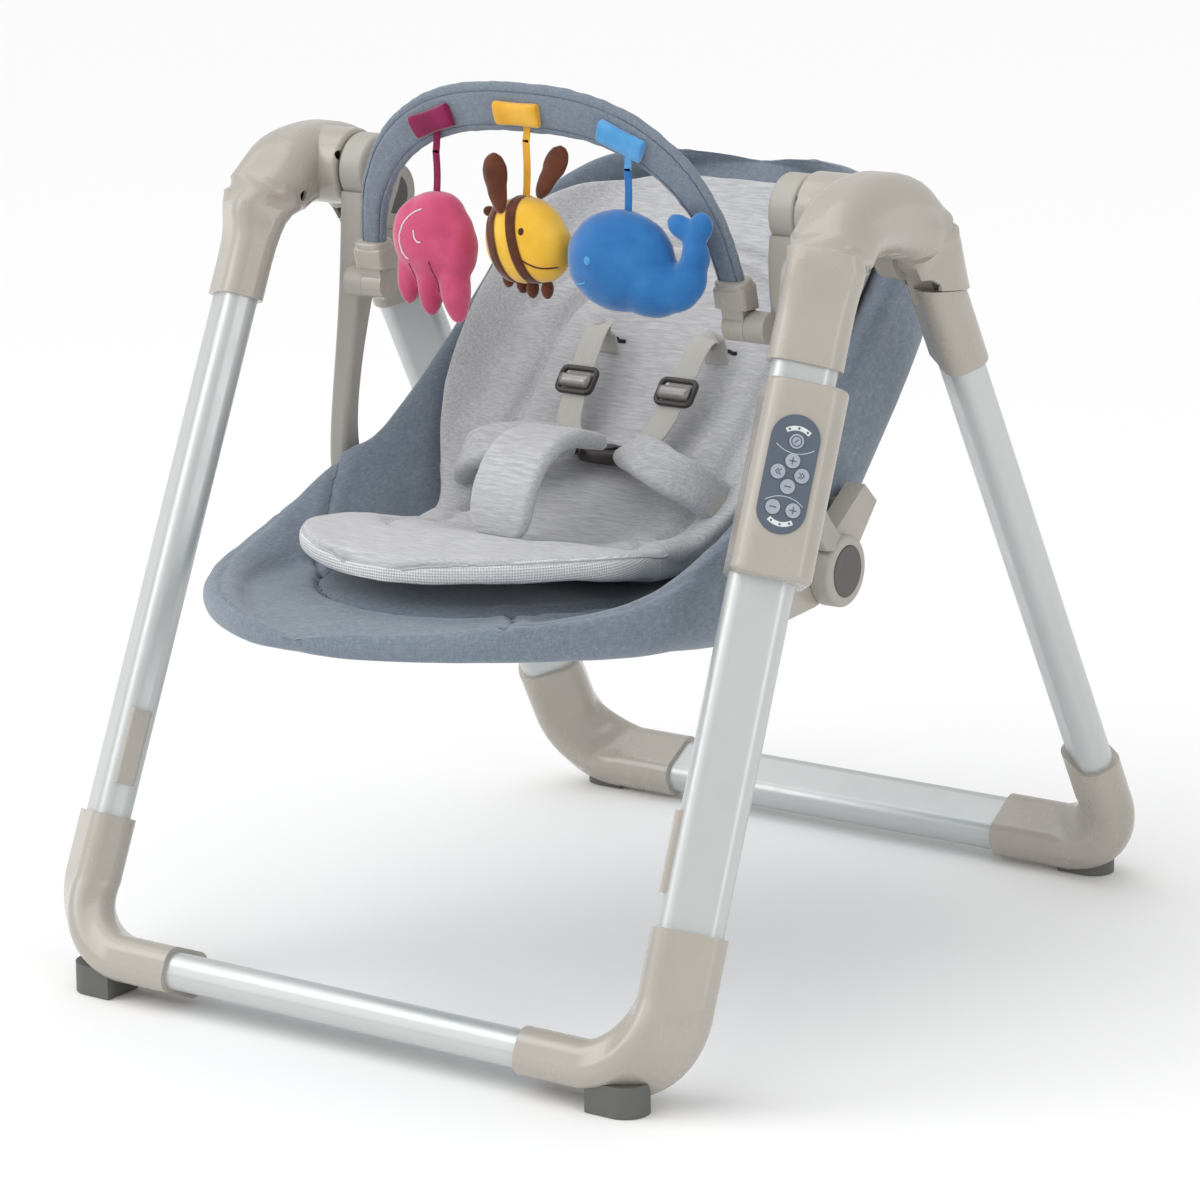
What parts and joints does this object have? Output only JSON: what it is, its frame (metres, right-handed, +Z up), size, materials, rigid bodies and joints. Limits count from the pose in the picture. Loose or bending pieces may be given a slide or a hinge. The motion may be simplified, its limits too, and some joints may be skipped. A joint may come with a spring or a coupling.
{
  "type": "baby swing",
  "caption": "Folding baby swing with a padded reclining seat on two arms, a toy bar with hanging toys and a control box on one leg.",
  "frame": {"origin": "on the floor, under the middle of the object's box", "axes": "+Z up, +X to the child's left, the child faces -Y"},
  "size_m": [0.6698, 0.9033, 0.7733],
  "materials": {
    "frame_plastic": "gloss",
    "arm_plastic": "satin",
    "frame_tube": "satin",
    "foot_rubber": "matte",
    "button_grey": "satin",
    "steel": "brushed",
    "brass": "satin",
    "gear_nylon": "satin",
    "keypad_film": "satin",
    "key_silver": "metallic",
    "board": "satin",
    "cell": "gloss",
    "speaker_black": "matte",
    "seat_fabric": "woven",
    "insert_jersey": "knit",
    "webbing": "woven",
    "buckle_brown": "satin",
    "adjuster_dark": "satin",
    "toy_pink": "plush",
    "toy_yellow": "plush",
    "toy_blue": "plush"
  },
  "bodies": {
    "front_frame": {"front_leg_left": "frame_tube", "front_leg_right": "frame_tube", "front_crossbar": "frame_tube", "front_corner_left": "frame_plastic", "front_corner_right": "frame_plastic", "front_feet": "foot_rubber", "hub_outer_left": "frame_plastic", "hub_outer_right": "frame_plastic", "hub_inner_left": "frame_plastic", "hub_inner_right": "frame_plastic", "cover_screws": "steel", "axle_bushes": "brass", "drive_motor": "steel", "control_box_front": "frame_plastic", "control_box_back": "frame_plastic", "battery_door": "frame_plastic", "keypad_panel": "keypad_film", "circuit_board": "board", "speaker": "speaker_black", "battery_cells": "cell", "leg_bumpers": "frame_plastic"},
    "pinion": {"motor_pinion": "brass"},
    "rear_frame": {"rear_leg_left": "frame_tube", "rear_leg_right": "frame_tube", "rear_crossbar": "frame_tube", "rear_corner_left": "frame_plastic", "rear_corner_right": "frame_plastic", "rear_feet": "foot_rubber", "rear_knuckle_left": "frame_plastic", "rear_knuckle_right": "frame_plastic", "fold_pins": "steel"},
    "fold_button_left": {"fold_button_left": "button_grey"},
    "fold_button_right": {"fold_button_right": "button_grey"},
    "swing": {"swing_arm_left": "arm_plastic", "swing_arm_right": "arm_plastic", "swing_axles": "steel", "drive_gear": "gear_nylon"},
    "recline_button_left": {"recline_button_left": "button_grey"},
    "recline_button_right": {"recline_button_right": "button_grey"},
    "seat": {"seat_tube": "frame_tube", "seat_bracket_left": "frame_plastic", "seat_bracket_right": "frame_plastic", "seat_shell": "seat_fabric", "seat_insert": "insert_jersey", "harness_straps": "webbing", "harness_buckle": "buckle_brown"},
    "strap_adjuster_left": {"strap_adjuster_left": "adjuster_dark"},
    "strap_adjuster_right": {"strap_adjuster_right": "adjuster_dark"},
    "toy_bar": {"toy_bar_band": "seat_fabric", "toy_bar_sockets": "frame_plastic"},
    "elephant": {"elephant_toy": "toy_pink"},
    "bee": {"bee_toy": "toy_yellow"},
    "whale": {"whale_toy": "toy_blue"},
    "power_button": {"power_button": "key_silver"},
    "volume_up_button": {"volume_up_button": "key_silver"},
    "volume_down_button": {"volume_down_button": "key_silver"},
    "previous_button": {"previous_button": "key_silver"},
    "next_button": {"next_button": "key_silver"},
    "slower_button": {"slower_button": "key_silver"},
    "faster_button": {"faster_button": "key_silver"}
  },
  "joints": [
    {"name": "frame_fold", "type": "hinge", "parent": "front_frame", "child": "rear_frame", "pos_m": [0, 0.062, 0.636], "axis": [1, 0, 0], "range_deg": [-50, 0]},
    {"name": "swing_pivot", "type": "hinge", "parent": "front_frame", "child": "swing", "pos_m": [0, -0.023, 0.673], "axis": [1, 0, 0], "range_deg": [-15, 15]},
    {"name": "pinion_spin", "type": "hinge", "parent": "front_frame", "child": "pinion", "pos_m": [0, 0.00315, 0.673], "axis": [1, 0, 0], "range_deg": [-52, 52]},
    {"name": "seat_recline", "type": "hinge", "parent": "swing", "child": "seat", "pos_m": [0, -0.008, 0.37], "axis": [1, 0, 0], "range_deg": [-12, 12]},
    {"name": "toy_bar_tilt", "type": "hinge", "parent": "swing", "child": "toy_bar", "pos_m": [0, -0.058, 0.579], "axis": [1, 0, 0], "range_deg": [-35, 60]},
    {"name": "elephant_hang", "type": "hinge", "parent": "toy_bar", "child": "elephant", "pos_m": [-0.091, -0.103, 0.708], "axis": [1, 0, 0], "range_deg": [-30, 30]},
    {"name": "bee_hang", "type": "hinge", "parent": "toy_bar", "child": "bee", "pos_m": [0.002, -0.103, 0.724], "axis": [1, 0, 0], "range_deg": [-30, 30]},
    {"name": "whale_hang", "type": "hinge", "parent": "toy_bar", "child": "whale", "pos_m": [0.104, -0.103, 0.708], "axis": [1, 0, 0], "range_deg": [-30, 3]},
    {"name": "fold_button_left_press", "type": "slide", "parent": "rear_frame", "child": "fold_button_left", "axis": [1, 0, 0], "range_m": [0, 0.005], "stiffness_N_per_m": 400},
    {"name": "recline_button_left_press", "type": "slide", "parent": "swing", "child": "recline_button_left", "axis": [-1, 0, 0], "range_m": [0, 0.004], "stiffness_N_per_m": 400},
    {"name": "strap_adjuster_left_slide", "type": "slide", "parent": "seat", "child": "strap_adjuster_left", "axis": [0, 0.6214, 0.7835], "range_m": [-0.012, 0.012]},
    {"name": "fold_button_right_press", "type": "slide", "parent": "rear_frame", "child": "fold_button_right", "axis": [-1, 0, 0], "range_m": [0, 0.005], "stiffness_N_per_m": 400},
    {"name": "recline_button_right_press", "type": "slide", "parent": "swing", "child": "recline_button_right", "axis": [1, 0, 0], "range_m": [0, 0.004], "stiffness_N_per_m": 400},
    {"name": "strap_adjuster_right_slide", "type": "slide", "parent": "seat", "child": "strap_adjuster_right", "axis": [0, 0.6214, 0.7835], "range_m": [-0.012, 0.012]},
    {"name": "power_button_press", "type": "slide", "parent": "front_frame", "child": "power_button", "axis": [-0.6008, 0.733, -0.319], "range_m": [0, 0.001], "stiffness_N_per_m": 300},
    {"name": "volume_up_button_press", "type": "slide", "parent": "front_frame", "child": "volume_up_button", "axis": [-0.6008, 0.733, -0.319], "range_m": [0, 0.001], "stiffness_N_per_m": 300},
    {"name": "volume_down_button_press", "type": "slide", "parent": "front_frame", "child": "volume_down_button", "axis": [-0.6008, 0.733, -0.319], "range_m": [0, 0.001], "stiffness_N_per_m": 300},
    {"name": "previous_button_press", "type": "slide", "parent": "front_frame", "child": "previous_button", "axis": [-0.6008, 0.733, -0.319], "range_m": [0, 0.001], "stiffness_N_per_m": 300},
    {"name": "next_button_press", "type": "slide", "parent": "front_frame", "child": "next_button", "axis": [-0.6008, 0.733, -0.319], "range_m": [0, 0.001], "stiffness_N_per_m": 300},
    {"name": "slower_button_press", "type": "slide", "parent": "front_frame", "child": "slower_button", "axis": [-0.6008, 0.733, -0.319], "range_m": [0, 0.001], "stiffness_N_per_m": 300},
    {"name": "faster_button_press", "type": "slide", "parent": "front_frame", "child": "faster_button", "axis": [-0.6008, 0.733, -0.319], "range_m": [0, 0.001], "stiffness_N_per_m": 300}
  ],
  "couplings": [
    {"joint": "pinion_spin", "follows": "swing_pivot", "ratio": -3.3333}
  ]
}
